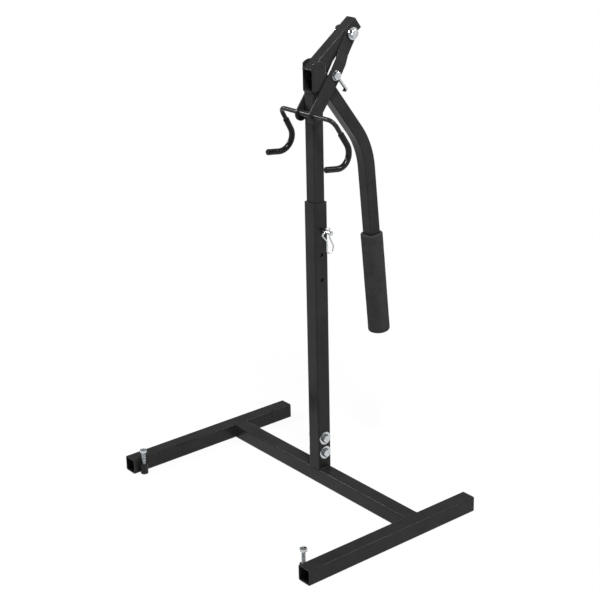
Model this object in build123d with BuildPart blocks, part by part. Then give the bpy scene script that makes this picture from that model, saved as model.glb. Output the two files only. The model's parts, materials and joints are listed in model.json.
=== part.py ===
"""Snowmobile lift: an over-centre lever on a telescoping square post, standing on a two-legged base.

Units are millimetres. +Z is up, +X runs along the cross beam, +Y points to the handle side and the hooks
face -Y. The origin is on the floor, below the axis of the post.
"""

import os
from math import atan2, degrees

from build123d import *

os.makedirs("parts", exist_ok=True)

# Square tubes: outside size, wall and outside corner radius
BASE_TUBE, BASE_WALL, BASE_CORNER = 40.0, 2.5, 4.0
MAST_WALL = 3.0
INNER_TUBE, INNER_WALL, INNER_CORNER = 32.0, 2.5, 3.0
LEVER_TUBE, LEVER_WALL, LEVER_CORNER = 32.0, 2.5, 3.0

# Base
LEG_LENGTH = 525.0
LEG_FRONT = -349.5
BEAM_LENGTH = 683.0
STUB_HEIGHT = 110.0

# Levelling bolts in round sleeves, inside the legs near their front ends
LEVELLER_SETBACK = 23.5
SLEEVE_RADIUS, SLEEVE_BOTTOM, SLEEVE_TOP = 10.0, 1.0, 28.0
LEVELLER_RADIUS = 5.0
LEVELLER_FOOT, LEVELLER_HEAD_Z = 1.5, 62.0
RUNNING_GAP = 0.06

# Post
MAST_TOP = 751.5
PIN_HOLE_TOP, PIN_HOLE_PITCH, PIN_HOLE_COUNT = 684.4, 65.0, 3
PIN_RADIUS, PIN_HOLE_RADIUS = 5.0, 5.5
PIN_SLACK = PIN_HOLE_RADIUS - PIN_RADIUS
PIN_Z = PIN_HOLE_TOP - PIN_SLACK
PIN_END = 60.0
CLIP_X = 51.0
CLIP_WIRE = 1.8
BASE_BOLT_HEIGHTS = (85.5, 125.5)
BOLT_RADIUS, BOLT_HOLE_RADIUS = 6.0, 6.2
INNER_BOTTOM = 520.0

# Fastener heads, for 12 mm bolts
HEAD_FLATS, HEAD_HEIGHT = 19.0, 7.5
NUT_HEIGHT = 10.0
WASHER_THICK = 2.5
WIDE_WASHER, STRAP_WASHER = 17.0, 15.0

# Head bracket: a clevis of bent plate on the post's top
BRACKET_HALF, BRACKET_INSIDE, BRACKET_PLATE, BRACKET_BEND = 20.5, 16.5, 4.0, 2.0
BRACKET_BOTTOM, EAR_TOP = 1020.0, 1096.5
EAR_FRONT, EAR_CREST, EAR_BACK = -18.5, 2.0, 24.0
EAR_FRONT_SHOULDER, EAR_BACK_SHOULDER = 1088.4, 1086.9
EAR_ROUND, EAR_HEEL = 5.0, 4.0
WEB_BACK = 16.6

# Lever: the arm rises 3 in 4, and the handle stands square to it
PIVOT = Vector(0, 5.0, 1076.5)
ARM_DIRECTION = Vector(0, 0.8, 0.6)
HANDLE_DIRECTION = Vector(0, 0.6, -0.8)
ARM_TAIL, ARM_END = 21.6, 152.0
BUSH_RADIUS, BUSH_HALF = 9.0, 16.2
HANDLE_REACH = 263.7
LOWER_REACH = 495.0
LOWER_DIRECTION = Vector(0, 0.0922, -0.9957)
HANDLE_BEND = 200.0
GRIP_START, GRIP_LENGTH, GRIP_RADIUS = 232.3, 268.8, 28.2
GRIP_END_WALL = 5.0

# Straps: one joggled flat bar on each side, from the arm's end down to the hook bar
STRAP_PIVOT = Vector(0, 102.0, 1146.0)
LATCH_PIVOT = Vector(0, 46.0, 1055.5)
STRAP_END = Vector(0, -19.5, 967.0)
STRAP_INSIDE_TOP, STRAP_INSIDE, STRAP_THICK = 16.4, 22.0, 4.0
STRAP_TOP_HALF_WIDTH, STRAP_HALF_WIDTH = 16.5, 17.5
JOGGLE_START, JOGGLE_END, JOGGLE_BEND = 49.0, 72.0, 8.0
SPACER_RING_RADIUS, SPACER_RING_THICK = 11.0, 3.5
SIDE_GAP = 0.3

# Hook bar: crossbar and two hooks in one round bar, with a spacer tube between the straps
HOOK_RADIUS = 5.5
CROSSBAR = Vector(0, -24.0, 970.2)
SPACER_RADIUS = 7.5
HOOK_TOP_X, HOOK_FOOT_X = 98.9, 109.3
HOOK_HEEL = Vector(0, 47.5, 850.0)
HOOK_TIP = Vector(0, -57.0, 862.8)
HOOK_TOP_BEND, HOOK_HEEL_BEND = 20.0, 35.0
SLEEVE_OUTSIDE = 7.5
SLEEVE_FROM_TOP = 38.5
SLEEVE_TIP_WALL = 2.5

# Safety latch on the right latch bolt, pressed from sheet: an eye, a step, an arm, a web and a curled lip
LATCH_SHEET = 2.0
LATCH_DIRECTION = Vector(0, 0.624, -0.781)
LATCH_EYE, LATCH_ARM_WIDTH = 12.0, 4.7
LATCH_STEP_START, LATCH_STEP = 13.0, 5.0
LATCH_WEB_START, LATCH_LENGTH, LATCH_LIP = 22.0, 48.0, 8.0
LATCH_BEND = 4.0
LATCH_WEB_INSIDE = 20.9

LEG_INSIDE = BEAM_LENGTH / 2
LEG_CENTRE = LEG_INSIDE + BASE_TUBE / 2
HALF_TUBE = BASE_TUBE / 2
HALF_LEVER = LEVER_TUBE / 2


def save(part, name):
    """Labels a finished piece and writes it."""
    part.label = name
    export_step(part, f"parts/{name}.step")


def tube_section(size, wall, corner):
    """Draws a square tube's section in the current sketch."""
    inside = size - 2 * wall
    RectangleRounded(size, size, corner)
    RectangleRounded(inside, inside, max(corner - wall, 0.6), mode=Mode.SUBTRACT)


def side_point(vector):
    """Gives a point of the lever's plane as sketch coordinates on a YZ plane."""
    return (vector.Y, vector.Z)


def round_ended_bar(first, second, half_width):
    """Draws a flat bar's outline between two points in the current sketch on a YZ plane."""
    reach = second - first
    middle = (first + second) * 0.5
    with Locations(side_point(middle)):
        SlotCenterToCenter(reach.length, 2 * half_width, rotation=degrees(atan2(reach.Z, reach.Y)))


def cross_holes(points, radius):
    """Cuts round holes along X through the current part."""
    with BuildSketch(Plane.YZ.offset(-2 * BASE_TUBE)) as holes:
        with Locations(*points):
            Circle(radius)
    extrude(holes.sketch, amount=4 * BASE_TUBE, mode=Mode.SUBTRACT)


def hex_solid(across_flats, height):
    """Makes a hexagonal head along +Z with its turned top chamfer."""
    corner = across_flats / 3**0.5
    flat = 0.94 * across_flats / 2
    drop = 0.58 * (corner - flat)
    with BuildPart() as head:
        with BuildSketch():
            RegularPolygon(across_flats / 2, 6, major_radius=False)
        extrude(amount=height)
        with BuildSketch(Plane.XZ):
            with BuildLine():
                shoulder = (corner, height - drop)
                Polyline((0, 0), (corner, 0), shoulder, (flat, height), (0, height), close=True)
            make_face()
        revolve(axis=Axis.Z, mode=Mode.INTERSECT)
    return head.part


def hex_bolt(radius, length, across_flats, head_height):
    """Makes a bolt whose head stands on the XY plane and whose shank runs down."""
    with BuildPart() as bolt:
        add(hex_solid(across_flats, head_height))
        with BuildSketch(Plane.XY):
            Circle(radius)
        extrude(amount=-length)
        chamfer(bolt.edges().filter_by(GeomType.CIRCLE).sort_by(Axis.Z)[0], length=1.0)
    return bolt.part


def hex_nut(radius, across_flats, height):
    """Makes a lock nut that stands on the XY plane, with its round collar on top."""
    collar = 3.0
    with BuildPart() as nut:
        add(hex_solid(across_flats, height - collar))
        with BuildSketch(Plane.XY.offset(height - collar)):
            Circle(0.42 * across_flats)
        extrude(amount=collar)
        fillet(nut.edges().filter_by(GeomType.CIRCLE).sort_by(Axis.Z)[-1], radius=1.2)
        with BuildSketch(Plane.XY):
            Circle(radius)
        extrude(amount=height, mode=Mode.SUBTRACT)
    return nut.part


def facing(x, point, sign):
    """Gives the plane at a side point whose normal points along +X or -X."""
    return Plane(origin=(x, point.Y, point.Z), x_dir=(0, 1, 0), z_dir=(sign, 0, 0))


def washers(spots, outside, inside):
    """Makes one washer on each plane of spots."""
    with BuildPart() as group:
        for spot in spots:
            with BuildSketch(spot):
                Circle(outside)
                Circle(inside, mode=Mode.SUBTRACT)
            extrude(amount=WASHER_THICK)
    return group.part


# Legs
for side, sign in (("left", -1), ("right", 1)):
    leg_plane = Plane(origin=(sign * LEG_CENTRE, LEG_FRONT, HALF_TUBE), x_dir=(1, 0, 0), z_dir=(0, 1, 0))
    with BuildPart() as leg:
        with BuildSketch(leg_plane):
            tube_section(BASE_TUBE, BASE_WALL, BASE_CORNER)
        extrude(amount=LEG_LENGTH)
    save(leg.part, f"{side}_leg")

# Cross beam
with BuildPart() as cross_beam:
    with BuildSketch(Plane(origin=(-LEG_INSIDE, 0, HALF_TUBE), x_dir=(0, 1, 0), z_dir=(1, 0, 0))):
        tube_section(BASE_TUBE, BASE_WALL, BASE_CORNER)
    extrude(amount=BEAM_LENGTH)
save(cross_beam.part, "cross_beam")

# Levelling bolts and their sleeves
leveller_y = LEG_FRONT + LEVELLER_SETBACK
for side, sign in (("left", -1), ("right", 1)):
    leveller_x = sign * (LEG_INSIDE - SLEEVE_RADIUS)
    with BuildPart() as sleeve:
        with BuildSketch(Plane.XY.offset(SLEEVE_BOTTOM)):
            with Locations((leveller_x, leveller_y)):
                Circle(SLEEVE_RADIUS)
                Circle(LEVELLER_RADIUS + RUNNING_GAP, mode=Mode.SUBTRACT)
        extrude(amount=SLEEVE_TOP - SLEEVE_BOTTOM)
    save(sleeve.part, f"{side}_leveller_sleeve")
    with BuildPart() as levelling_bolt:
        with Locations((leveller_x, leveller_y, LEVELLER_HEAD_Z)):
            add(hex_bolt(LEVELLER_RADIUS, LEVELLER_HEAD_Z - LEVELLER_FOOT, 17.0, 6.5))
    save(levelling_bolt.part, f"{side}_levelling_bolt")

# Stub on the beam that the outer post slips over
base_bolt_points = [(0, height) for height in BASE_BOLT_HEIGHTS]
with BuildPart() as post_stub:
    with BuildSketch(Plane.XY.offset(BASE_TUBE)):
        tube_section(INNER_TUBE, INNER_WALL, INNER_CORNER)
    extrude(amount=STUB_HEIGHT)
    cross_holes(base_bolt_points, BOLT_HOLE_RADIUS)
save(post_stub.part, "post_stub")

# Outer post with its column of pin holes
pin_points = [(0, PIN_HOLE_TOP - index * PIN_HOLE_PITCH) for index in range(PIN_HOLE_COUNT)]
with BuildPart() as outer_mast:
    with BuildSketch(Plane.XY.offset(BASE_TUBE)):
        tube_section(BASE_TUBE, MAST_WALL, BASE_CORNER)
    extrude(amount=MAST_TOP - BASE_TUBE)
    cross_holes(base_bolt_points, BOLT_HOLE_RADIUS)
    cross_holes(pin_points, PIN_HOLE_RADIUS)
save(outer_mast.part, "outer_mast")

# Bolts through the post's foot, with wide washers and lock nuts
base_spots = [Vector(0, 0, height) for height in BASE_BOLT_HEIGHTS]
head_seat = HALF_TUBE + WASHER_THICK
with BuildPart() as base_bolts:
    with Locations(*[facing(head_seat, spot, 1) for spot in base_spots]):
        add(hex_bolt(BOLT_RADIUS, 2 * head_seat + NUT_HEIGHT + 2, HEAD_FLATS, HEAD_HEIGHT))
save(base_bolts.part, "base_bolts")
washer_spots = [facing(sign * HALF_TUBE, spot, sign) for spot in base_spots for sign in (1, -1)]
save(washers(washer_spots, WIDE_WASHER, BOLT_HOLE_RADIUS), "base_washers")
with BuildPart() as base_nuts:
    with Locations(*[facing(-head_seat, spot, -1) for spot in base_spots]):
        add(hex_nut(BOLT_RADIUS, HEAD_FLATS, NUT_HEIGHT))
save(base_nuts.part, "base_nuts")

# Inner post, held by the pin and closed on top by the head bracket
with BuildPart() as inner_mast:
    with BuildSketch(Plane.XY.offset(INNER_BOTTOM)):
        tube_section(INNER_TUBE, INNER_WALL, INNER_CORNER)
    extrude(amount=BRACKET_BOTTOM - INNER_BOTTOM)
    cross_holes([(0, PIN_Z - PIN_SLACK)], PIN_HOLE_RADIUS)
save(inner_mast.part, "inner_mast")

# Height pin, lying in the bottom of the outer post's holes: a bent pull end on the left,
# and a cross hole for its clip on the right
pin_bend = HALF_TUBE + 11.0
with BuildPart() as height_pin:
    with BuildLine() as pin_path:
        FilletPolyline(
            (-pin_bend, 0, PIN_Z - 38),
            (-pin_bend, 0, PIN_Z),
            (PIN_END, 0, PIN_Z),
            radius=10.0,
        )
    with BuildSketch(Plane(origin=pin_path.line @ 0, z_dir=pin_path.line % 0)):
        Circle(PIN_RADIUS)
    sweep()
    chamfer(height_pin.edges().filter_by(GeomType.CIRCLE).sort_by(Axis.X)[-1], length=1.0)
    with BuildSketch(Plane.XY.offset(PIN_Z - 2 * PIN_RADIUS)):
        with Locations((CLIP_X, 0)):
            Circle(CLIP_WIRE + RUNNING_GAP)
    extrude(amount=4 * PIN_RADIUS, mode=Mode.SUBTRACT)
save(height_pin.part, "height_pin")

# Spring clip: a straight leg through the pin, a round loop and a leg bent out round the pin's front
clip_points = [
    (0, 12), (0, -12), (12, -36), (8, -51), (-8, -51), (-8, -20), (-24, -1.6), (-8.4, 8), (-10, 15),
]
with BuildPart() as r_clip:
    with BuildLine() as clip_path:
        FilletPolyline(
            [(CLIP_X, y, PIN_Z + z) for y, z in clip_points],
            radius=[8, 8, 7, 7, 5, 4, 4],
        )
    with BuildSketch(Plane(origin=clip_path.line @ 0, z_dir=clip_path.line % 0)):
        Circle(CLIP_WIRE)
    sweep()
save(r_clip.part, "r_clip")

# Head bracket: a clevis of bent plate, open to the front, with its web on the post's top.
# The web is shorter than the ears at the back, where the closed handle rests on its edge.
web_top = BRACKET_BOTTOM + BRACKET_PLATE
with BuildPart() as head_bracket:
    with BuildSketch(Plane.YZ.offset(-BRACKET_HALF)) as ear:
        with BuildLine():
            dome = ThreePointArc(
                (EAR_FRONT, EAR_FRONT_SHOULDER),
                (EAR_CREST, EAR_TOP),
                (EAR_BACK, EAR_BACK_SHOULDER),
            )
            Polyline(dome @ 1, (EAR_BACK, BRACKET_BOTTOM), (EAR_FRONT, BRACKET_BOTTOM), dome @ 0)
        make_face()
        fillet(ear.vertices().sort_by(Axis.Y)[2:], radius=EAR_ROUND)
        fillet(ear.vertices().group_by(Axis.Y)[0], radius=EAR_HEEL)
    extrude(amount=2 * BRACKET_HALF)
    bottom_edges = head_bracket.faces().sort_by(Axis.Z)[0].edges().filter_by(Axis.Y)
    fillet(bottom_edges, radius=BRACKET_PLATE + BRACKET_BEND)
    with BuildSketch(Plane.XZ.offset(-2 * BASE_TUBE)):
        with BuildLine():
            FilletPolyline(
                (-BRACKET_INSIDE, EAR_TOP + 1),
                (-BRACKET_INSIDE, web_top),
                (BRACKET_INSIDE, web_top),
                (BRACKET_INSIDE, EAR_TOP + 1),
                close=True,
                radius=[0, BRACKET_BEND, BRACKET_BEND, 0],
            )
        make_face()
    extrude(amount=4 * BASE_TUBE, mode=Mode.SUBTRACT)
    with BuildSketch(Plane.XY.offset(BRACKET_BOTTOM)):
        with Locations((0, WEB_BACK)):
            Rectangle(2 * BRACKET_INSIDE, 2 * BASE_TUBE, align=(Align.CENTER, Align.MIN))
    extrude(amount=BRACKET_PLATE + BRACKET_BEND, mode=Mode.SUBTRACT)
    cross_holes([side_point(PIVOT)], BOLT_RADIUS)
save(head_bracket.part, "head_bracket")

# Pivot pin, flush with the ears
with BuildPart() as pivot_pin:
    with BuildSketch(facing(-BRACKET_HALF, PIVOT, 1)):
        Circle(BOLT_RADIUS)
    extrude(amount=2 * BRACKET_HALF)
    chamfer(pivot_pin.edges().filter_by(GeomType.CIRCLE), length=0.8)
save(pivot_pin.part, "pivot_pin")

# Lever arm
arm_start = PIVOT - ARM_DIRECTION * ARM_TAIL
with BuildPart() as lever_arm:
    with BuildSketch(Plane(origin=arm_start, x_dir=(1, 0, 0), z_dir=ARM_DIRECTION)):
        tube_section(LEVER_TUBE, LEVER_WALL, LEVER_CORNER)
    extrude(amount=ARM_TAIL + ARM_END)
    cross_holes([side_point(PIVOT)], BUSH_RADIUS)
    cross_holes([side_point(STRAP_PIVOT)], BOLT_RADIUS)
save(lever_arm.part, "lever_arm")

# Bush across the arm, running on the pivot pin
with BuildPart() as pivot_bush:
    with BuildSketch(facing(-BUSH_HALF, PIVOT, 1)):
        Circle(BUSH_RADIUS)
        Circle(BOLT_RADIUS + RUNNING_GAP, mode=Mode.SUBTRACT)
    extrude(amount=2 * BUSH_HALF)
save(pivot_bush.part, "pivot_bush")

# Handle tube, butted under the tail of the arm, with one smooth bend
handle_root = PIVOT + ARM_DIRECTION * (HALF_LEVER - ARM_TAIL)
handle_start = handle_root + HANDLE_DIRECTION * HALF_LEVER
bend_point = handle_root + HANDLE_DIRECTION * HANDLE_REACH
with BuildPart() as handle_tube:
    with BuildLine() as handle_path:
        handle_end = bend_point + LOWER_DIRECTION * LOWER_REACH
        FilletPolyline(handle_start, bend_point, handle_end, radius=HANDLE_BEND)
    with BuildSketch(Plane(origin=handle_start, x_dir=(1, 0, 0), z_dir=HANDLE_DIRECTION)):
        tube_section(LEVER_TUBE, LEVER_WALL, LEVER_CORNER)
    sweep()
save(handle_tube.part, "handle_tube")

# Foam grip with a square bore and a closed, rounded end
grip_plane = Plane(origin=bend_point + LOWER_DIRECTION * GRIP_START, x_dir=(1, 0, 0), z_dir=LOWER_DIRECTION)
with BuildPart() as foam_grip:
    with BuildSketch(grip_plane):
        Circle(GRIP_RADIUS)
    extrude(amount=GRIP_LENGTH)
    fillet(foam_grip.edges().filter_by(GeomType.CIRCLE).sort_by(Axis.Z)[-1], radius=4.0)
    fillet(foam_grip.edges().filter_by(GeomType.CIRCLE).sort_by(Axis.Z)[0], radius=9.0)
    with BuildSketch(grip_plane):
        RectangleRounded(LEVER_TUBE, LEVER_TUBE, LEVER_CORNER)
    extrude(amount=GRIP_LENGTH - GRIP_END_WALL, mode=Mode.SUBTRACT)
save(foam_grip.part, "foam_grip")

# Pivot bolt at the arm's end: a spacer ring and a wide washer outside each strap, and a lock nut on the left
ring_seat = STRAP_INSIDE_TOP + STRAP_THICK + SIDE_GAP
washer_seat = ring_seat + SPACER_RING_THICK
strap_head_seat = washer_seat + WASHER_THICK
with BuildPart() as strap_bolt:
    with Locations(facing(strap_head_seat, STRAP_PIVOT, 1)):
        add(hex_bolt(BOLT_RADIUS, 2 * strap_head_seat + NUT_HEIGHT + 2, HEAD_FLATS, HEAD_HEIGHT))
save(strap_bolt.part, "strap_bolt")
with BuildPart() as spacer_rings:
    for sign in (1, -1):
        with BuildSketch(facing(sign * ring_seat, STRAP_PIVOT, sign)):
            Circle(SPACER_RING_RADIUS)
            Circle(BOLT_HOLE_RADIUS, mode=Mode.SUBTRACT)
        extrude(amount=SPACER_RING_THICK)
save(spacer_rings.part, "spacer_rings")
washer_spots = [facing(sign * washer_seat, STRAP_PIVOT, sign) for sign in (1, -1)]
save(washers(washer_spots, STRAP_WASHER, BOLT_HOLE_RADIUS), "strap_washers")
with BuildPart() as strap_nut:
    with Locations(facing(-strap_head_seat, STRAP_PIVOT, -1)):
        add(hex_nut(BOLT_RADIUS, HEAD_FLATS, NUT_HEIGHT))
save(strap_nut.part, "strap_nut")

# Straps: close to the arm at the top, set out by a joggle to pass outside the ears, slightly bent below it
upper_reach = LATCH_PIVOT - STRAP_PIVOT
upper_direction = upper_reach.normalized()
strap_top = -2 * STRAP_HALF_WIDTH
strap_foot = upper_reach.length + (STRAP_END - LATCH_PIVOT).length + 2 * STRAP_HALF_WIDTH
strap_outside = STRAP_INSIDE + STRAP_THICK
for side, sign in (("left", -1), ("right", 1)):
    near, far = sign * STRAP_INSIDE_TOP, sign * STRAP_INSIDE
    near_out, far_out = near + sign * STRAP_THICK, far + sign * STRAP_THICK
    edge_normal = upper_direction.cross(Vector(1, 0, 0))
    edge_plane = Plane(origin=STRAP_PIVOT, x_dir=upper_direction, z_dir=edge_normal)
    with BuildPart() as strap:
        with BuildSketch(edge_plane):
            with BuildLine():
                FilletPolyline(
                    (strap_top, near),
                    (JOGGLE_START, near),
                    (JOGGLE_END, far),
                    (strap_foot, far),
                    (strap_foot, far_out),
                    (JOGGLE_END, far_out),
                    (JOGGLE_START, near_out),
                    (strap_top, near_out),
                    close=True,
                    radius=[0, JOGGLE_BEND, JOGGLE_BEND, 0, 0, JOGGLE_BEND, JOGGLE_BEND, 0],
                )
            make_face()
        extrude(amount=2 * BASE_TUBE, both=True)
        with BuildSketch(Plane.YZ.offset(-2 * BASE_TUBE)):
            round_ended_bar(STRAP_PIVOT, LATCH_PIVOT, STRAP_TOP_HALF_WIDTH)
            round_ended_bar(LATCH_PIVOT, STRAP_END, STRAP_HALF_WIDTH)
        extrude(amount=4 * BASE_TUBE, mode=Mode.INTERSECT)
        cross_holes([side_point(STRAP_PIVOT)], BOLT_RADIUS + RUNNING_GAP)
        cross_holes([side_point(LATCH_PIVOT)], BOLT_RADIUS)
        cross_holes([side_point(CROSSBAR)], HOOK_RADIUS)
    save(strap.part, f"{side}_strap")

# Short bolts in the straps beside the handle; the right one is longer, to hold the safety latch
latch_seat = strap_outside + SIDE_GAP
latch_head_seat = latch_seat + LATCH_SHEET + SIDE_GAP
with BuildPart() as latch_bolts:
    for seat, sign in ((strap_outside, -1), (latch_head_seat, 1)):
        with Locations(facing(sign * seat, LATCH_PIVOT, sign)):
            add(hex_bolt(BOLT_RADIUS, seat - STRAP_INSIDE, HEAD_FLATS, HEAD_HEIGHT))
save(latch_bolts.part, "latch_bolts")

# Hook bar
hook_points = [
    (-HOOK_FOOT_X, HOOK_TIP.Y, HOOK_TIP.Z),
    (-HOOK_FOOT_X, HOOK_HEEL.Y, HOOK_HEEL.Z),
    (-HOOK_TOP_X, CROSSBAR.Y, CROSSBAR.Z),
    (HOOK_TOP_X, CROSSBAR.Y, CROSSBAR.Z),
    (HOOK_FOOT_X, HOOK_HEEL.Y, HOOK_HEEL.Z),
    (HOOK_FOOT_X, HOOK_TIP.Y, HOOK_TIP.Z),
]
hook_bends = [HOOK_HEEL_BEND, HOOK_TOP_BEND, HOOK_TOP_BEND, HOOK_HEEL_BEND]
with BuildPart() as hook_bar:
    with BuildLine() as hook_path:
        FilletPolyline(hook_points, radius=hook_bends)
    with BuildSketch(Plane(origin=hook_path.line @ 0, z_dir=hook_path.line % 0)):
        Circle(HOOK_RADIUS)
    sweep()
save(hook_bar.part, "hook_bar")

# Spacer tube on the crossbar, between the straps
with BuildPart() as spacer_tube:
    with BuildSketch(facing(-STRAP_INSIDE, CROSSBAR, 1)):
        Circle(SPACER_RADIUS)
        Circle(HOOK_RADIUS + RUNNING_GAP, mode=Mode.SUBTRACT)
    extrude(amount=2 * STRAP_INSIDE)
save(spacer_tube.part, "spacer_tube")

# Vinyl sleeves over the hooks, closed and rounded at the tip
for side, sign in (("left", -1), ("right", 1)):
    top = Vector(sign * HOOK_TOP_X, CROSSBAR.Y, CROSSBAR.Z)
    heel = Vector(sign * HOOK_FOOT_X, HOOK_HEEL.Y, HOOK_HEEL.Z)
    tip = Vector(sign * HOOK_FOOT_X, HOOK_TIP.Y, HOOK_TIP.Z)
    toe = (tip - heel).normalized()
    mouth = top + (heel - top).normalized() * SLEEVE_FROM_TOP
    closed = tip + toe * SLEEVE_TIP_WALL
    with BuildPart() as hook_sleeve:
        with BuildLine() as outer_path:
            FilletPolyline(mouth, heel, closed, radius=HOOK_HEEL_BEND)
        with BuildSketch(Plane(origin=mouth, z_dir=heel - top)):
            Circle(SLEEVE_OUTSIDE)
        sweep()
        fillet(hook_sleeve.edges().filter_by(GeomType.CIRCLE).sort_by(Axis.Y)[0], radius=3.5)
        with BuildLine() as bore_path:
            FilletPolyline(mouth, heel, tip, radius=HOOK_HEEL_BEND)
        with BuildSketch(Plane(origin=mouth, z_dir=heel - top)):
            Circle(HOOK_RADIUS)
        sweep(path=bore_path.line, mode=Mode.SUBTRACT)
    save(hook_sleeve.part, f"{side}_hook_sleeve")

# Safety latch: the eye turns on the bolt, a step brings the arm out, and the web turns in towards the handle
latch_plane = Plane(origin=LATCH_PIVOT, x_dir=LATCH_DIRECTION, z_dir=(1, 0, 0))
web_line = (LATCH_ARM_WIDTH - LATCH_SHEET) / 2
latch_outside = latch_seat + LATCH_STEP + LATCH_SHEET
with BuildPart() as safety_latch:
    with BuildSketch(latch_plane.offset(latch_seat)):
        Circle(LATCH_EYE)
        Rectangle(LATCH_STEP_START + LATCH_SHEET, LATCH_ARM_WIDTH, align=(Align.MIN, Align.CENTER))
    extrude(amount=LATCH_SHEET)
    with BuildSketch(latch_plane.offset(latch_seat)):
        with Locations((LATCH_STEP_START, 0)):
            Rectangle(LATCH_SHEET, LATCH_ARM_WIDTH, align=(Align.MIN, Align.CENTER))
    extrude(amount=LATCH_STEP + LATCH_SHEET)
    with BuildSketch(latch_plane.offset(latch_seat + LATCH_STEP)):
        with Locations((LATCH_STEP_START, 0)):
            Rectangle(LATCH_LENGTH - LATCH_STEP_START, LATCH_ARM_WIDTH, align=(Align.MIN, Align.CENTER))
    extrude(amount=LATCH_SHEET)
    with BuildSketch(latch_plane.offset(LATCH_WEB_INSIDE)):
        with BuildLine():
            FilletPolyline(
                (LATCH_WEB_START, web_line),
                (LATCH_LENGTH, web_line),
                (LATCH_LENGTH, web_line - LATCH_LIP),
                radius=LATCH_BEND,
            )
        trace(line_width=LATCH_SHEET)
    extrude(amount=latch_outside - LATCH_WEB_INSIDE)
    cross_holes([side_point(LATCH_PIVOT)], BOLT_RADIUS + RUNNING_GAP)
save(safety_latch.part, "safety_latch")
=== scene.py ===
# Snowmobile lift: looks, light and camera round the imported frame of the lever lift
import json
from math import cos, pi, radians, sin, sqrt

import bpy
from mathutils import Matrix, Vector


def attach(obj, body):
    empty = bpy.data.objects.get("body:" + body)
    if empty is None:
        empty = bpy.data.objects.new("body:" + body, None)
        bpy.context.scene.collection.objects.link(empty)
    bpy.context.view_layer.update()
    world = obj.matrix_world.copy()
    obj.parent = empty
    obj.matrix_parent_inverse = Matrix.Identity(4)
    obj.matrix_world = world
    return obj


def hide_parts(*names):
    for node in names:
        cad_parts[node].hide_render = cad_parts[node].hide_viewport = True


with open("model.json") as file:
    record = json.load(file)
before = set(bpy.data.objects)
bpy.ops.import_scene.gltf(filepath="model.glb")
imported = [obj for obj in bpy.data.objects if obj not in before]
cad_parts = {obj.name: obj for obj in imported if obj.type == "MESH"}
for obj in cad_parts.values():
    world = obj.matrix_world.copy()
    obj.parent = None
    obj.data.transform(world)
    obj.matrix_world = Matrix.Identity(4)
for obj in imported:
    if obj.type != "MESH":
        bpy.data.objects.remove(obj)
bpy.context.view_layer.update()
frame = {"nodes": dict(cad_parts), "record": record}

# Sizes are in millimetres and placed in metres; points nearer than TOUCH are taken as one place
MM = 0.001
TOUCH = 0.01

# Camera at the photograph's viewpoint
VIEW_AZIMUTH = 51.388
VIEW_ELEVATION = 20.795
VIEW_ROLL = -1.292
VIEW_DISTANCE = 3534.5
VIEW_AIM = Vector((5.97, -59.56, 513.83))
VIEW_LENS = 86.81
SENSOR_WIDTH = 36.0

# Tubes and joints of the frame
BASE_HALF = 20.0
BASE_TOP = 40.0
LEG_INSIDE = 341.5
INNER_HALF = 16.0
BRACKET_BOTTOM = 1020.0
PIVOT = Vector((0.0, 5.0, 1076.5))
ARM_DIRECTION = Vector((0.0, 0.8, 0.6))
HANDLE_DIRECTION = Vector((0.0, 0.6, -0.8))
LEVER_HALF = 16.0
HANDLE_BACK = 10.4
CROSSBAR = Vector((0.0, -24.0, 970.2))
STRAP_OUTSIDE = 26.0

# Drops of a weld bead: thickness against width, and spacing against radius
DROP_FLATNESS = 0.62
DROP_SPACING = 0.75

# Beads in the grooves between beam and legs, and up the corners beside them
GROOVE_BEAD = 2.2
GROOVE_REACH = 17.0
GROOVE_SIDE = 0.9
GROOVE_DEPTH = 1.6
CORNER_BEAD = 2.4
CORNER_SIDE = 0.4
CORNER_FOOT = 5.0
CORNER_TOP = 36.0

# Beads round the post's foot
FOOT_BEAD = 2.6
FOOT_REACH = 14.0
FOOT_EDGE_BEAD = 1.6
FOOT_EDGE_REACH = 15.0
FOOT_EDGE_INSET = 0.97
FOOT_EDGE_DEPTH = 0.6

# Beads up both sides of the levellers' sleeves
SLEEVE_BEAD = 1.8
SLEEVE_SEAM_SIDE = 1.0
SLEEVE_SEAM_SHIFT = 4.8
SLEEVE_SEAM_FOOT = 6.0
SLEEVE_SEAM_TOP = 26.0

# Beads under the head bracket, in the lever's corner and round the crossbar
BRACKET_BEAD = 1.9
BRACKET_REACH = 13.0
BRACKET_EDGE = 0.2
BRACKET_DEPTH = 0.6
HANDLE_BEAD = 2.2
HANDLE_BEAD_MARGIN = 3.5
CROSSBAR_BEAD = 1.5
CROSSBAR_RING = 5.9

# Levelling bolts
LEVELLER_X = 331.5
LEVELLER_Y = -326.0
LEVELLER_FOOT = 1.5
LEVELLER_SEAT = 62.0
LEVELLER_FLATS = 17.0
LEVELLER_HEAD = 6.5
HEAD_CHAMFER = 0.9
WASHER_FACE_SHARE = 0.47
WASHER_FACE_DEPTH = 3.0
WASHER_FACE_RISE = 0.9
THREAD_CREST = 4.98
THREAD_ROOT = 4.2
THREAD_PITCH = 2.0
THREAD_STEPS = 20

# Foam grip on the handle's lower run
GRIP_TOP = Vector((0.0, 180.2, 630.9))
GRIP_DIRECTION = Vector((0.0, 0.0922, -0.9957))
GRIP_LENGTH = 268.8
GRIP_RADIUS = 28.1
GRIP_SIDES = 64
GRIP_RINGS = 48
GRIP_END_ROLL = 5.0
GRIP_MOUTH_ROLL = 2.0
GRIP_END_WALL = 5.0
HANDLE_TUBE = 32.0
WANDER_DEPTH = 0.8
WANDER_SIZE = 30.0
WANDER_LEVEL = 0.6

# Studio, in metres: floor, backdrop, and where the floor's shadow fades to plain white
FLOOR_SIZE = 60.0
BACKDROP_HEIGHT = 8.0
SHADOW_REACH = 0.45
WHITE_REACH = 1.1
SHADOW_WHITE = 0.9
FILL_STRENGTH = 0.3


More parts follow.
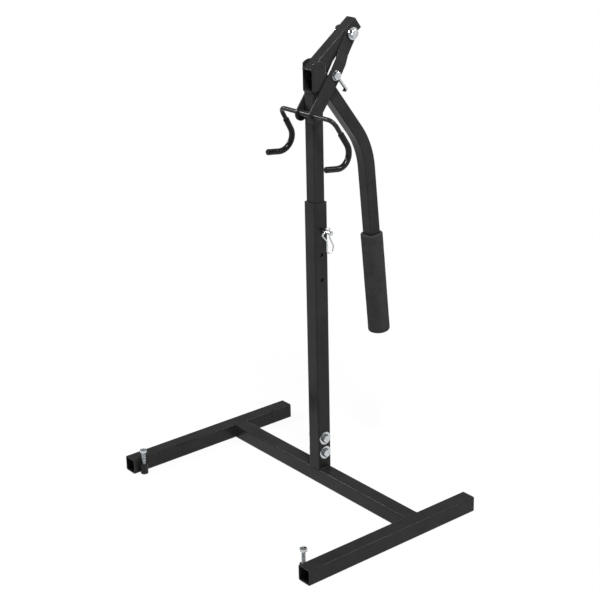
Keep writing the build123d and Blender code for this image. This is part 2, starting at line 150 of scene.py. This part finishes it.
def linear_colour(hex_code):
    """Turns an sRGB hex colour into the linear values that Blender's sockets take."""
    parts = [int(hex_code[i:i + 2], 16) / 255 for i in (1, 3, 5)]
    linear = [p / 12.92 if p <= 0.04045 else ((p + 0.055) / 1.055) ** 2.4 for p in parts]
    return (*linear, 1.0)


def add_node(tree, kind, settings=None, values=None, links=None):
    """Adds a node, with its settings, its fixed inputs and the outputs linked to its inputs."""
    made = tree.nodes.new(kind)
    for name, value in (settings or {}).items():
        setattr(made, name, value)
    for name, value in (values or {}).items():
        made.inputs[name].default_value = value
    for name, output in (links or {}).items():
        tree.links.new(output, made.inputs[name])
    return made


def new_finish(name):
    """Starts a material and gives its node tree and its main shader."""
    finish = bpy.data.materials.new(name)
    finish.use_nodes = True
    return finish, finish.node_tree, finish.node_tree.nodes["Principled BSDF"]


def black_powder_coat():
    """Semi-gloss black powder coat, baked on steel: soft highlights, faint orange peel and a little haze."""
    finish, tree, shader = new_finish("black_powder_coat_steel")
    shader.inputs["IOR"].default_value = 1.22
    place = add_node(tree, "ShaderNodeTexCoord").outputs["Object"]
    # The coat rounds sharp corners by about 1.5 mm
    rounded = add_node(tree, "ShaderNodeBevel", settings={"samples": 8}, values={"Radius": 1.5 * MM})
    # Orange peel is about 1.5 mm across; it is drawn at 4 mm so that it shows
    peel = add_node(
        tree, "ShaderNodeTexNoise", values={"Scale": 250.0, "Detail": 3.0}, links={"Vector": place},
    )
    bump = add_node(
        tree, "ShaderNodeBump", values={"Strength": 0.04, "Distance": 0.4 * MM},
        links={"Height": peel.outputs["Fac"], "Normal": rounded.outputs["Normal"]},
    )
    tree.links.new(bump.outputs["Normal"], shader.inputs["Normal"])
    # Haze and handling marks are 30 to 80 mm patches that dull the gloss and lift the black a little
    haze = add_node(
        tree, "ShaderNodeTexNoise", values={"Scale": 18.0, "Detail": 5.0, "Roughness": 0.65},
        links={"Vector": place},
    )
    dullness = add_node(
        tree, "ShaderNodeMapRange",
        values={"From Min": 0.3, "From Max": 0.7, "To Min": 0.2, "To Max": 0.28},
        links={"Value": haze.outputs["Fac"]},
    )
    tree.links.new(dullness.outputs["Result"], shader.inputs["Roughness"])
    tone = add_node(tree, "ShaderNodeValToRGB", links={"Fac": haze.outputs["Fac"]})
    tone.color_ramp.elements[0].position = 0.3
    tone.color_ramp.elements[0].color = linear_colour("#1d1d1d")
    tone.color_ramp.elements[1].position = 0.7
    tone.color_ramp.elements[1].color = linear_colour("#262626")
    tree.links.new(tone.outputs["Color"], shader.inputs["Base Color"])
    return finish


def bright_zinc():
    """Bright zinc plate on bolts and wire: silvery with a cool cast, crisp glints and fine cloudy spangle."""
    finish, tree, shader = new_finish("bright_zinc_plate")
    shader.inputs["Metallic"].default_value = 1.0
    place = add_node(tree, "ShaderNodeTexCoord").outputs["Object"]
    # Clouds in the plating are 3 to 6 mm across
    cloud = add_node(
        tree, "ShaderNodeTexNoise", values={"Scale": 220.0, "Detail": 4.0}, links={"Vector": place},
    )
    tone = add_node(tree, "ShaderNodeValToRGB", links={"Fac": cloud.outputs["Fac"]})
    tone.color_ramp.elements[0].position = 0.3
    tone.color_ramp.elements[0].color = linear_colour("#a6abae")
    tone.color_ramp.elements[1].position = 0.7
    tone.color_ramp.elements[1].color = linear_colour("#d6d9db")
    tree.links.new(tone.outputs["Color"], shader.inputs["Base Color"])
    gloss = add_node(
        tree, "ShaderNodeMapRange",
        values={"From Min": 0.3, "From Max": 0.7, "To Min": 0.12, "To Max": 0.22},
        links={"Value": cloud.outputs["Fac"]},
    )
    tree.links.new(gloss.outputs["Result"], shader.inputs["Roughness"])
    bump = add_node(
        tree, "ShaderNodeBump", values={"Strength": 0.08, "Distance": 0.3 * MM},
        links={"Height": cloud.outputs["Fac"]},
    )
    tree.links.new(bump.outputs["Normal"], shader.inputs["Normal"])
    return finish


def closed_cell_foam():
    """Closed-cell nitrile foam, skinned in a mould: dull dark grey, with fine pores and no highlight."""
    finish, tree, shader = new_finish("closed_cell_nitrile_foam")
    shader.inputs["Specular IOR Level"].default_value = 0.08
    shader.inputs["Roughness"].default_value = 0.82
    place = add_node(tree, "ShaderNodeTexCoord").outputs["Object"]
    # Pores are under 1 mm; they are drawn at 2.5 mm so that they show
    pores = add_node(
        tree, "ShaderNodeTexVoronoi", values={"Scale": 400.0, "Randomness": 1.0}, links={"Vector": place},
    )
    bump = add_node(
        tree, "ShaderNodeBump", values={"Strength": 0.25, "Distance": 0.6 * MM},
        links={"Height": pores.outputs["Distance"]},
    )
    tree.links.new(bump.outputs["Normal"], shader.inputs["Normal"])
    # Scuffs from gloved hands are 10 to 30 mm patches
    scuff = add_node(
        tree, "ShaderNodeTexNoise", values={"Scale": 45.0, "Detail": 5.0, "Roughness": 0.7},
        links={"Vector": place},
    )
    tone = add_node(tree, "ShaderNodeValToRGB", links={"Fac": scuff.outputs["Fac"]})
    tone.color_ramp.elements[0].position = 0.3
    tone.color_ramp.elements[0].color = linear_colour("#2d2d2d")
    tone.color_ramp.elements[1].position = 0.7
    tone.color_ramp.elements[1].color = linear_colour("#363636")
    tree.links.new(tone.outputs["Color"], shader.inputs["Base Color"])
    return finish


def dipped_vinyl():
    """Dip-moulded vinyl over the hooks: deep black and glossy, with ripples where it ran before it set."""
    finish, tree, shader = new_finish("dipped_vinyl")
    shader.inputs["IOR"].default_value = 1.24
    shader.inputs["Base Color"].default_value = linear_colour("#101010")
    shader.inputs["Coat Weight"].default_value = 0.1
    shader.inputs["Coat Roughness"].default_value = 0.12
    place = add_node(tree, "ShaderNodeTexCoord").outputs["Object"]
    # Runs in the dip are 8 to 15 mm long
    runs = add_node(
        tree, "ShaderNodeTexNoise", values={"Scale": 90.0, "Detail": 2.0}, links={"Vector": place},
    )
    bump = add_node(
        tree, "ShaderNodeBump", values={"Strength": 0.12, "Distance": 1.0 * MM},
        links={"Height": runs.outputs["Fac"]},
    )
    tree.links.new(bump.outputs["Normal"], shader.inputs["Normal"])
    gloss = add_node(
        tree, "ShaderNodeMapRange",
        values={"From Min": 0.3, "From Max": 0.7, "To Min": 0.18, "To Max": 0.3},
        links={"Value": runs.outputs["Fac"]},
    )
    tree.links.new(gloss.outputs["Result"], shader.inputs["Roughness"])
    return finish


FINISHES = {
    "black_powder_coat": black_powder_coat(),
    "bright_zinc": bright_zinc(),
    "foam": closed_cell_foam(),
    "vinyl": dipped_vinyl(),
}


def start_piece():
    """Leaves object mode with nothing selected, ready for a new primitive."""
    if bpy.context.object and bpy.context.object.mode != "OBJECT":
        bpy.ops.object.mode_set(mode="OBJECT")
    bpy.ops.object.select_all(action="DESELECT")


def pick_piece(piece):
    """Selects one piece alone and makes it the active one."""
    start_piece()
    piece.select_set(True)
    bpy.context.view_layer.objects.active = piece


def apply_place(piece):
    """Moves a piece's place into its mesh, so that its object sits at the origin."""
    pick_piece(piece)
    bpy.ops.object.transform_apply(location=True, rotation=True, scale=True)


def apply_modifiers(piece):
    """Applies every modifier of a piece in its order."""
    pick_piece(piece)
    for name in [modifier.name for modifier in piece.modifiers]:
        bpy.ops.object.modifier_apply(modifier=name)


def select_edges(piece, wanted):
    """Opens the active piece in edit mode with only the edges that pass a test selected."""
    bpy.ops.object.mode_set(mode="EDIT")
    bpy.ops.mesh.select_mode(type="EDGE")
    bpy.ops.mesh.select_all(action="DESELECT")
    bpy.ops.object.mode_set(mode="OBJECT")
    for edge in piece.data.edges:
        edge.select = wanted(edge)
    bpy.ops.object.mode_set(mode="EDIT")


def end_heights(piece, edge):
    """Gives the heights of an edge's two ends."""
    return [piece.data.vertices[i].co.z for i in edge.vertices]


def lies_at(piece, edge, height):
    """Says whether both ends of an edge lie at a height."""
    return all(abs(end - height) < TOUCH * MM for end in end_heights(piece, edge))


def join_pieces(pieces, name):
    """Joins several pieces into one under a name."""
    start_piece()
    for piece in pieces:
        piece.select_set(True)
    bpy.context.view_layer.objects.active = pieces[0]
    if len(pieces) > 1:
        bpy.ops.object.join()
    joined = bpy.context.object
    joined.name = name
    joined.data.name = name
    return joined


def finish_piece(piece, body, slot):
    """Gives a finished piece its finish and the body that it rides on."""
    piece.data.materials.clear()
    piece.data.materials.append(FINISHES[slot])
    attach(piece, body)


def weld_drop(place, along, radius):
    """Models one drop of a weld bead, flattened along the run like a tipped coin."""
    start_piece()
    bpy.ops.mesh.primitive_uv_sphere_add(segments=12, ring_count=8, radius=radius * MM)
    drop = bpy.context.object
    bpy.ops.object.mode_set(mode="EDIT")
    bpy.ops.mesh.select_all(action="SELECT")
    bpy.ops.transform.resize(value=(1.0, 1.0, DROP_FLATNESS))
    bpy.ops.object.mode_set(mode="OBJECT")
    bpy.ops.object.shade_smooth()
    drop.rotation_mode = "QUATERNION"
    drop.rotation_quaternion = Vector((0, 0, 1)).rotation_difference(along)
    drop.location = place * MM
    apply_place(drop)
    return drop


def weld_run(start, end, radius):
    """Lays a straight weld bead as a row of drops from start to end."""
    start, end = Vector(start), Vector(end)
    reach = end - start
    count = max(2, round(reach.length / (DROP_SPACING * radius)))
    run = weld_drop(start, reach.normalized(), radius)
    row = run.modifiers.new("row", "ARRAY")
    row.count = count
    row.use_relative_offset = False
    row.use_constant_offset = True
    row.constant_offset_displace = reach * MM / (count - 1)
    apply_modifiers(run)
    return run


def weld_ring(centre, ring_radius, radius):
    """Lays a round weld bead about an axis along X."""
    centre = Vector(centre)
    ring = weld_drop(centre + Vector((0, ring_radius, 0)), Vector((0, 0, 1)), radius)
    pick_piece(ring)
    bpy.ops.object.mode_set(mode="EDIT")
    bpy.ops.mesh.select_all(action="SELECT")
    steps = round(2 * pi * ring_radius / (DROP_SPACING * radius))
    bpy.ops.mesh.spin(steps=steps, dupli=True, angle=2 * pi, center=centre * MM, axis=(1, 0, 0))
    bpy.ops.mesh.select_all(action="SELECT")
    bpy.ops.mesh.normals_make_consistent(inside=False)
    bpy.ops.object.mode_set(mode="OBJECT")
    return ring


# Weld beads of the base: beam to legs, post to beam, and sleeves to legs
beads = []
for side in (-1, 1):
    groove_x = side * (LEG_INSIDE + GROOVE_SIDE)
    groove_z = BASE_TOP - GROOVE_DEPTH
    groove_start = (groove_x, -GROOVE_REACH, groove_z)
    beads.append(weld_run(groove_start, (groove_x, GROOVE_REACH, groove_z), GROOVE_BEAD))
    corner_x = side * (LEG_INSIDE - CORNER_SIDE)
    for corner_y in (-BASE_HALF, BASE_HALF):
        corner_start = (corner_x, corner_y, CORNER_FOOT)
        beads.append(weld_run(corner_start, (corner_x, corner_y, CORNER_TOP), CORNER_BEAD))
    foot = side * BASE_HALF
    beads.append(weld_run((foot, -FOOT_REACH, BASE_TOP), (foot, FOOT_REACH, BASE_TOP), FOOT_BEAD))
    edge_y = foot * FOOT_EDGE_INSET
    edge_z = BASE_TOP - FOOT_EDGE_DEPTH
    edge_start = (-FOOT_EDGE_REACH, edge_y, edge_z)
    beads.append(weld_run(edge_start, (FOOT_EDGE_REACH, edge_y, edge_z), FOOT_EDGE_BEAD))
    seam_x = side * (LEG_INSIDE - SLEEVE_SEAM_SIDE)
    for shift in (-SLEEVE_SEAM_SHIFT, SLEEVE_SEAM_SHIFT):
        seam_y = LEVELLER_Y + shift
        seam_start = (seam_x, seam_y, SLEEVE_SEAM_FOOT)
        beads.append(weld_run(seam_start, (seam_x, seam_y, SLEEVE_SEAM_TOP), SLEEVE_BEAD))
base_welds = join_pieces(beads, "base_welds")
finish_piece(base_welds, "base", "black_powder_coat")

# Weld bead where the head bracket's web sits on the inner post
beads = []
bead_z = BRACKET_BOTTOM - BRACKET_DEPTH
for side in (-1, 1):
    edge = side * (INNER_HALF + BRACKET_EDGE)
    beads.append(weld_run((-BRACKET_REACH, edge, bead_z), (BRACKET_REACH, edge, bead_z), BRACKET_BEAD))
    beads.append(weld_run((edge, -BRACKET_REACH, bead_z), (edge, BRACKET_REACH, bead_z), BRACKET_BEAD))
bracket_weld = join_pieces(beads, "bracket_weld")
finish_piece(bracket_weld, "base", "black_powder_coat")

# Weld bead in the inner corner between the lever's arm and the handle
inner_corner = PIVOT + ARM_DIRECTION * HANDLE_BACK + HANDLE_DIRECTION * LEVER_HALF
reach = Vector((LEVER_HALF - HANDLE_BEAD_MARGIN, 0, 0))
handle_weld = join_pieces([weld_run(inner_corner - reach, inner_corner + reach, HANDLE_BEAD)], "handle_weld")
finish_piece(handle_weld, "lever", "black_powder_coat")

# Weld beads round the crossbar, on the outer faces of both straps
beads = []
for side in (-1, 1):
    beads.append(weld_ring((side * STRAP_OUTSIDE, CROSSBAR.y, CROSSBAR.z), CROSSBAR_RING, CROSSBAR_BEAD))
crossbar_welds = join_pieces(beads, "crossbar_welds")
finish_piece(crossbar_welds, "hook_frame", "black_powder_coat")


def bolt_thread(place):
    """Cuts a helical thread for a levelling bolt: a ridge wound up the shank, closed at both ends."""
    start_piece()
    bpy.ops.mesh.primitive_circle_add(vertices=3, radius=THREAD_ROOT * MM)
    thread = bpy.context.object
    # The ridge's section: root, crest and root again, open towards the shank's axis
    heights = (0.0, THREAD_PITCH / 2, THREAD_PITCH)
    radii = (THREAD_ROOT, THREAD_CREST, THREAD_ROOT)
    for corner, height, radius in zip(thread.data.vertices, heights, radii):
        corner.co = (radius * MM, 0, height * MM)
    select_edges(thread, lambda edge: set(edge.vertices) == {0, 2})
    bpy.ops.mesh.delete(type="EDGE")
    bpy.ops.object.mode_set(mode="OBJECT")
    wound = thread.modifiers.new("wound", "SCREW")
    wound.axis = "Z"
    wound.angle = 2 * pi
    wound.screw_offset = THREAD_PITCH * MM
    wound.iterations = int((LEVELLER_SEAT - LEVELLER_FOOT) / THREAD_PITCH) - 1
    wound.steps = THREAD_STEPS
    wound.render_steps = THREAD_STEPS
    wound.use_merge_vertices = True
    apply_modifiers(thread)
    bpy.ops.object.mode_set(mode="EDIT")
    bpy.ops.mesh.select_all(action="SELECT")
    bpy.ops.mesh.remove_doubles(threshold=TOUCH * MM)
    bpy.ops.mesh.fill_holes(sides=0)
    bpy.ops.mesh.select_all(action="SELECT")
    bpy.ops.mesh.normals_make_consistent(inside=False)
    bpy.ops.object.mode_set(mode="OBJECT")
    thread.location = (place + Vector((0, 0, LEVELLER_FOOT))) * MM
    apply_place(thread)
    return thread


def bolt_head(place):
    """Forges a hexagon head: a six-sided block with its top corners turned off, on a round washer face."""
    start_piece()
    corner_radius = LEVELLER_FLATS / sqrt(3)
    middle = place + Vector((0, 0, LEVELLER_SEAT + LEVELLER_HEAD / 2))
    bpy.ops.mesh.primitive_cylinder_add(
        vertices=6, radius=corner_radius * MM, depth=LEVELLER_HEAD * MM, location=middle * MM,
    )
    head = bpy.context.object
    apply_place(head)
    top = (LEVELLER_SEAT + LEVELLER_HEAD) * MM
    select_edges(head, lambda edge: lies_at(head, edge, top))
    bpy.ops.mesh.bevel(offset=HEAD_CHAMFER * MM, segments=2, affect="EDGES")
    start_piece()
    bpy.ops.mesh.primitive_cylinder_add(
        vertices=40, radius=WASHER_FACE_SHARE * LEVELLER_FLATS * MM, depth=WASHER_FACE_DEPTH * MM,
        location=(place + Vector((0, 0, LEVELLER_SEAT + WASHER_FACE_RISE))) * MM,
    )
    washer_face = bpy.context.object
    apply_place(washer_face)
    return [head, washer_face]


# Levelling bolts with real threads stand for the plain ones of the frame
for side, sign in (("left", -1), ("right", 1)):
    spot = Vector((sign * LEVELLER_X, LEVELLER_Y, 0))
    bolt = join_pieces([bolt_thread(spot), *bolt_head(spot)], f"{side}_threaded_leveller")
    bpy.ops.object.shade_smooth_by_angle(angle=radians(35))
    finish_piece(bolt, f"{side}_leveller", "bright_zinc")
    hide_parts(f"{side}_levelling_bolt")


def foam_grip():
    """Moulds the foam grip: a soft round bar with a square bore, a cut mouth and a rounded closed end."""
    start_piece()
    bpy.ops.mesh.primitive_cylinder_add(vertices=GRIP_SIDES, radius=GRIP_RADIUS * MM, depth=GRIP_LENGTH * MM)
    grip = bpy.context.object
    half = GRIP_LENGTH / 2 * MM

    def runs_along(edge):
        first, second = end_heights(grip, edge)
        return abs(first - second) > half

    # Rings along the bar, so that its skin can swell unevenly
    select_edges(grip, runs_along)
    bpy.ops.mesh.subdivide(number_cuts=GRIP_RINGS)
    # Rounded ends: a large roll at the closed end and a small one at the mouth
    for end, roll in ((-half, GRIP_END_ROLL), (half, GRIP_MOUTH_ROLL)):
        select_edges(grip, lambda edge: lies_at(grip, edge, end))
        bpy.ops.mesh.bevel(offset=roll * MM, segments=4, affect="EDGES")
    # The bore that the handle's tube fills
    start_piece()
    bpy.ops.mesh.primitive_cube_add(size=1.0)
    tube = bpy.context.object
    tube.scale = (HANDLE_TUBE * MM, HANDLE_TUBE * MM, GRIP_LENGTH * MM)
    tube.location = (0, 0, GRIP_END_WALL * MM)
    apply_place(tube)
    bore = grip.modifiers.new("bore", "BOOLEAN")
    bore.operation = "DIFFERENCE"
    bore.solver = "EXACT"
    bore.object = tube
    apply_modifiers(grip)
    bpy.data.objects.remove(tube)
    # Foam never sets quite straight: the skin wanders by a few tenths of a millimetre
    wander = bpy.data.textures.new("foam_wander", "CLOUDS")
    wander.noise_scale = WANDER_SIZE * MM
    skin = grip.modifiers.new("skin", "DISPLACE")
    skin.texture = wander
    skin.texture_coords = "LOCAL"
    skin.strength = WANDER_DEPTH * MM
    skin.mid_level = WANDER_LEVEL
    apply_modifiers(grip)
    bpy.ops.object.shade_smooth_by_angle(angle=radians(40))
    grip.rotation_mode = "QUATERNION"
    grip.rotation_quaternion = Vector((0, 0, 1)).rotation_difference(-GRIP_DIRECTION)
    grip.location = (GRIP_TOP + GRIP_DIRECTION * (GRIP_LENGTH / 2)) * MM
    apply_place(grip)
    return join_pieces([grip], "moulded_foam_grip")


grip = foam_grip()
finish_piece(grip, "lever", "foam")
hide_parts("foam_grip")

# Finishes on the pieces that come from the frame
for entry in frame["record"]["subparts"]:
    piece = frame["nodes"][entry["node"]]
    piece.data.materials.clear()
    piece.data.materials.append(FINISHES[entry["material_slot"]])

# Pale floor, turned up at its far edge as a backdrop for low views
start_piece()
bpy.ops.mesh.primitive_plane_add(size=FLOOR_SIZE, location=(0, 0, 0))
floor = bpy.context.object
floor.name = "studio_floor"
bpy.ops.object.mode_set(mode="EDIT")
bpy.ops.mesh.select_mode(type="EDGE")
bpy.ops.mesh.select_all(action="SELECT")
bpy.ops.mesh.region_to_loop()
bpy.ops.mesh.extrude_edges_move(TRANSFORM_OT_translate={"value": (0, 0, BACKDROP_HEIGHT)})
bpy.ops.object.mode_set(mode="OBJECT")
apply_place(floor)

# White studio paper: matte, and plain white to the eye and in reflections
paper, tree, shader = new_finish("white_studio_paper")
shader.inputs["Base Color"].default_value = linear_colour("#f2f2f2")
shader.inputs["Roughness"].default_value = 0.9
glow = add_node(tree, "ShaderNodeEmission", values={"Strength": 1.0})
path = add_node(tree, "ShaderNodeLightPath")
sharp = add_node(
    tree, "ShaderNodeMath", settings={"operation": "MAXIMUM"},
    links={0: path.outputs["Is Camera Ray"], 1: path.outputs["Is Glossy Ray"]},
)
seen = add_node(
    tree, "ShaderNodeMath", settings={"operation": "MAXIMUM"},
    links={0: sharp.outputs["Value"], 1: path.outputs["Is Transmission Ray"]},
)
# The paper keeps the shadow near the lift and burns out to plain white further off
floor_place = add_node(tree, "ShaderNodeTexCoord").outputs["Object"]
distance = add_node(
    tree, "ShaderNodeVectorMath", settings={"operation": "LENGTH"}, links={0: floor_place},
)
burn = add_node(
    tree, "ShaderNodeMapRange",
    values={"From Min": SHADOW_REACH, "From Max": WHITE_REACH, "To Min": SHADOW_WHITE, "To Max": 1.0},
    links={"Value": distance.outputs["Value"]},
)
share = add_node(
    tree, "ShaderNodeMath", settings={"operation": "MULTIPLY"},
    links={0: seen.outputs["Value"], 1: burn.outputs["Result"]},
)
mix = add_node(
    tree, "ShaderNodeMixShader",
    links={"Fac": share.outputs["Value"], 1: shader.outputs["BSDF"], 2: glow.outputs["Emission"]},
)
tree.links.new(mix.outputs["Shader"], tree.nodes["Material Output"].inputs["Surface"])
floor.data.materials.append(paper)

# World: a soft even fill
world = bpy.data.worlds.new("studio_world")
bpy.context.scene.world = world
world.use_nodes = True
fill_light = world.node_tree.nodes["Background"]
fill_light.inputs["Color"].default_value = linear_colour("#ffffff")
fill_light.inputs["Strength"].default_value = FILL_STRENGTH


def softbox(name, place, aim, size, power):
    """Hangs a square studio softbox that faces a point, with its size and places in metres."""
    bpy.ops.object.light_add(type="AREA", location=place)
    lamp = bpy.context.object
    lamp.name = name
    lamp.data.shape = "SQUARE"
    lamp.data.size = size
    lamp.data.energy = power
    facing = Vector(aim) - Vector(place)
    lamp.rotation_mode = "QUATERNION"
    lamp.rotation_quaternion = Vector((0, 0, -1)).rotation_difference(facing)


# The key lights the tops, and the side and back softboxes draw bright lines along the tubes' edges
start_piece()
softbox("key_softbox", place=(1.0, -0.55, 2.7), aim=(0, 0, 0.8), size=0.5, power=68.0)
softbox("side_softbox", place=(-2.8, -1.9, 2.68), aim=(0, 0, 0.8), size=0.4, power=60.0)
softbox("back_softbox", place=(1.89, 2.36, 3.18), aim=(0, 0, 0.5), size=0.6, power=50.0)

# Camera
start_piece()
azimuth = radians(VIEW_AZIMUTH)
elevation = radians(VIEW_ELEVATION)
roll = radians(VIEW_ROLL)
back = Vector((sin(azimuth) * cos(elevation), -cos(azimuth) * cos(elevation), sin(elevation)))
level = Vector((cos(azimuth), sin(azimuth), 0))
upright = back.cross(level)
right = level * cos(roll) + upright * sin(roll)
up = upright * cos(roll) - level * sin(roll)
bpy.ops.object.camera_add()
camera = bpy.context.object
camera.name = "photo_camera"
camera.data.lens = VIEW_LENS
camera.data.sensor_width = SENSOR_WIDTH
place = (VIEW_AIM + back * VIEW_DISTANCE) * MM
turn = Matrix((right, up, back)).transposed()
camera.matrix_world = Matrix.Translation(place) @ turn.to_4x4()
bpy.context.scene.camera = camera
bpy.context.scene.view_settings.view_transform = "Standard"
